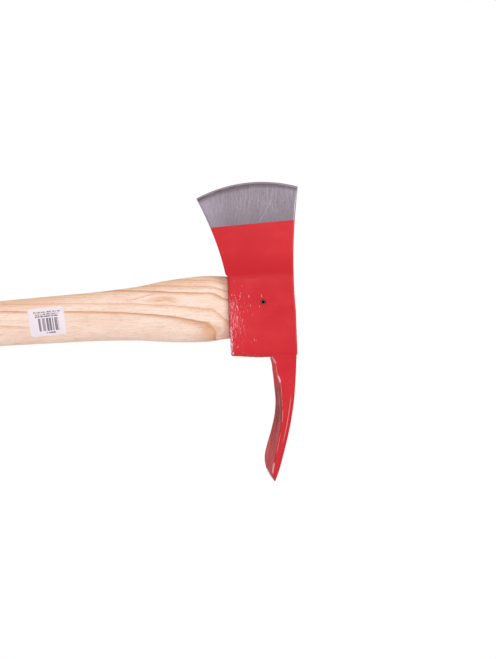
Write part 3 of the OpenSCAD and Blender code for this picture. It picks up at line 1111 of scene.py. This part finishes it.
woodLook = dict(
    pale=colour(248, 224, 209),
    mid=colour(238, 203, 184),
    dark=colour(221, 167, 128),
    line=colour(178, 114, 74),
    redStroke=colour(214, 90, 92),
    rings=(  # distance of each growth ring from the pith, and how dark it is
        (4.0, 0.25), (12.8, 0.3), (16.6, 0.75), (20.5, 0.5), (27.5, 1.0),
        (34.5, 0.7), (45.0, 1.0), (50.0, 0.75), (55.0, 0.6), (61.5, 0.7),
    ),
    reach=72.0,  # of the ring scale
    lateWood=3.0,  # width over which a ring darkens outwards
    ringEnd=0.45,  # width over which it ends
    minorRings=1.9,  # distance between the faint lines
    pithX=20.0,
    surfaceY=-14.5,  # of the labelled side
    flatten=0.35,  # of the rings, from side to side
    pithDeep=12.0,  # depth of the pith under the labelled side along the grip
    pithDeeper=17.0,  # and how much deeper it lies at the head
    pithStart=-240.0,
    burl=(-9, -66, 7, 22),  # X and Z of the middle, and half lengths along them
    archEnd=(21, -18, 7, 12),
    rough=0.6,
)


def ellipse(p, middleX, middleZ, halfX, halfZ):  # 0 at the middle and 1 at the rim
    return ((p.x - middleX) / halfX) ** 2 + ((p.z - middleZ) / halfZ) ** 2


def makeWood(name):
    p = Paint(name)
    k = woodLook
    x, y, z = p.x, p.y, p.z
    grow = z.fade(k["pithStart"], 0, "LINEAR") ** 1.3
    deep = grow * k["pithDeeper"] + k["pithDeep"] + z.fade(-20, 0) * 5
    wave = p.cloud(0.035, (1.0, 1.0, 0.25))
    ripple = p.cloud(0.12, (1.0, 1.0, 0.35))
    dx = x - k["pithX"]
    dy = (y - k["surfaceY"]) * k["flatten"] - deep
    distance = (dx * dx + dy * dy).sqrt() + (wave - 0.5) * 4 + (ripple - 0.5) * 1.6
    stops = []
    for ring, strength in k["rings"]:  # pale early wood darkens outwards to a crisp line of late wood
        stops += [((ring - k["lateWood"]) / k["reach"], 0.0), (ring / k["reach"], strength),
                  ((ring + k["ringEnd"]) / k["reach"], 0.0)]
    late = p.node("ValToRGB", {"stops": stops}, {"Fac": distance / k["reach"]})
    late = late * (1 - x.fade(4, 12) * z.fade(-210, -170) * z.fade(-66, -96) * 0.85)
    line = late ** 2.6
    minor = (distance / k["minorRings"]).fraction().fade(0.55, 1.0)
    fibre = p.cloud(1.1, (1.0, 1.0, 0.05), 4, 0.7)
    fine = p.cloud(3.2, (1.0, 1.0, 0.035), 3, 0.7)
    blotch = p.cloud(0.05, (1.0, 1.0, 0.3), 3)
    fleck = p.cloud(1.3, (1.0, 1.0, 0.12), 3, 0.65)
    pores = p.cells(1.0, (1.7, 1.7, 0.16))[0].fade(0.30, 0.12) * (line * 0.8 + 0.2)
    # darker along the bit-side edge near the head: painted shade on the haft's top edge, with denser grain
    fromTop = x + z * 0.081 + 34.6
    topEdgeShadeAndGrain = fromTop.fade(14, 2) * z.fade(-320, -235)
    # darker cast of a burl high on the labelled side, and the brown end of the main arch
    smear = p.cloud(0.22, (1.0, 1.0, 0.18), 4, 0.65)
    burl = ellipse(p, *k["burl"]).fade(1.0, 0.1) * smear.fade(0.38, 0.6)
    burl = burl.most(ellipse(p, *k["archEnd"]).fade(1.0, 0.2) * 0.7)
    # a faint red stroke of rubbed-off paint
    stroke = abs(x + 11.8 + (z + 97) * 0.23 + (ripple - 0.5) * 2).fade(0.45, 0.15)
    stroke = stroke * z.fade(-99, -96) * z.fade(-72, -76) * fine.fade(0.42, 0.5) * y.fade(-4, -8)
    body = p.layers(
        p.blend((fibre * 0.6 + blotch * 0.4).fade(0.38, 0.62), k["pale"], k["mid"]),
        (late, z.fade(-210, -60) * 0.27 + 0.15, k["dark"]),
        # painted shade and denser grain along the bit-side edge
        (topEdgeShadeAndGrain, minor * 0.45 + 0.45, k["dark"]),
        (minor, 0.1, k["dark"]),
        (line, 0.9, k["dark"]),
        (line, fine.fade(0.45, 0.6) * 0.5 + 0.4, k["line"]),
        (burl * y.fade(0, -6), 0.85, k["dark"]),
        (fleck.fade(0.57, 0.70), 0.42, k["line"]),
        (pores, 0.4, k["line"]),
        (fine.fade(0.56, 0.7), 0.42, k["dark"]),
        (stroke, 0.85, k["redStroke"]),
    )
    return p.finish({
        "Base Color": body,
        "Roughness": (fibre - 0.5) * 0.15 + k["rough"],
        "Normal": p.bump(fibre * 0.6 + fine * 0.4 - pores * 0.6, 0.05, 0.4),
        "Specular IOR Level": 0.3,
    })


wedgeLook = dict(
    pale=colour(208, 168, 128),
    dark=colour(168, 118, 80),
    sawn=colour(140, 94, 62),
    rough=0.7,
)


def makeWedgeWood(name):  # darker hardwood, its grain running down into the kerf
    p = Paint(name)
    k = wedgeLook
    fibre = p.cloud(1.3, (0.5, 1.0, 0.06), 4, 0.7)
    rings = (p.x * 0.42 + p.y * 0.3 + p.cloud(0.08) * 3).fraction()
    sawn = p.cloud(1.4, (0.25, 2.0, 1.0), 3, 0.7)
    body = p.layers(
        p.blend(fibre.fade(0.35, 0.65), k["pale"], k["dark"]),
        (rings.fade(0.6, 0.95), 0.6, k["dark"]),
        (sawn.fade(0.58, 0.7), 0.5, k["sawn"]),
    )
    return p.finish({
        "Base Color": body,
        "Roughness": (sawn - 0.5) * 0.2 + k["rough"],
        "Normal": p.bump(sawn + fibre, 0.12, 0.6),
        "Specular IOR Level": 0.3,
    })


wedgeSteelLook = dict(
    pale=colour(178, 176, 174),
    dark=colour(120, 117, 114),
    rough=0.4,
    grain=(1.0, 1.0, 0.3),
)
pinSteelLook = dict(
    pale=colour(158, 152, 156),
    dark=colour(96, 92, 96),
    rough=0.45,
    grain=(1.0, 0.2, 1.0),
)


def makeSteelMaterial(name, k):
    p = Paint(name)
    streak = p.cloud(3.0, k["grain"], 4, 0.6)
    spots = p.cloud(0.9, None, 3, 0.6)
    return p.finish({
        "Base Color": p.blend((streak * 0.6 + spots * 0.4).fade(0.3, 0.7), k["dark"], k["pale"]),
        "Metallic": 1.0,
        "Roughness": k["rough"] + (spots - 0.5) * 0.25,
        "Normal": p.bump(streak + spots, 0.05, 0.4),
    })


# Marks on the label are random bars and dashes, in millimetres from its middle
labelLook = dict(
    paper=colour(240, 227, 233),
    paperDull=colour(231, 216, 224),
    ink=colour(92, 80, 92),
    barsX=(-8.6, 11.6),
    barsY=(-9.2, 3.6),
    barsInk=0.85,
    wideBars=(1.9, 0.5, 0.55),  # bars to a millimetre, seed, and how seldom one is inked
    thinBars=(3.3, 40.5, 0.78),
    rows=((9.6, -12.4, 14.0), (7.4, -11.0, 12.4), (5.4, -11.4, 11.6), (-11.0, -2.2, 7.2)),  # Y, start, end
    rowHalf=0.72,
    rowInk=0.95,
)


def makeLabelMaterial():
    p = Paint("paperLabel")
    k = labelLook
    u, v, _ = p.split(p.node("UVMap", {"uv_map": "labelMap"}, {}))
    bars = 0
    for count, seed, seldom in (k["wideBars"], k["thinBars"]):
        number = p.node("TexWhiteNoise", {"noise_dimensions": "1D"}, {"W": (u * count).floor() + seed})
        bars = (number > seldom).most(bars)
    (left, right), (low, high) = k["barsX"], k["barsY"]
    ink = bars * ((u > left) * (u < right) * (v > low) * (v < high)) * k["barsInk"]
    for height, start, end in k["rows"]:
        cell = p.join((u * 2.4).floor(), height, 0.5)
        stroke = p.node("TexWhiteNoise", {"noise_dimensions": "3D"}, {"Vector": cell})
        mark = p.cloud(1.0, None, 1, vector=p.join(u * 2.6, v * 2.2, height)).fade(0.38, 0.48)
        row = (abs(v - height) < k["rowHalf"]) * (u > start) * (u < end)
        ink = ink.most(row * (stroke > 0.14) * mark * k["rowInk"])
    paper = p.blend(p.cloud(0.12), k["paper"], k["paperDull"])
    return p.finish({
        "Base Color": p.blend(ink, paper, k["ink"]),
        "Roughness": 0.55 - ink * 0.1,
        "Normal": p.bump(p.cloud(1.5, detail=3), 0.02, 0.3),
        "Specular IOR Level": 0.4,
    })


settle(axeHead, "axe_head", makeHeadMaterial())
settle(haft, "haft", makeWood("ashWood"))
settle(kerfWedge, "kerf_wedge", makeWedgeWood("wedgeWood"))
wedgeSteel = makeSteelMaterial("wedgeSteel", wedgeSteelLook)
for piece, node in steelWedges:
    settle(piece, node, wedgeSteel)
settle(crossPin, "cross_pin", makeSteelMaterial("pinSteel", pinSteelLook))
settle(labelPiece, "label", makeLabelMaterial())
print("materials made")
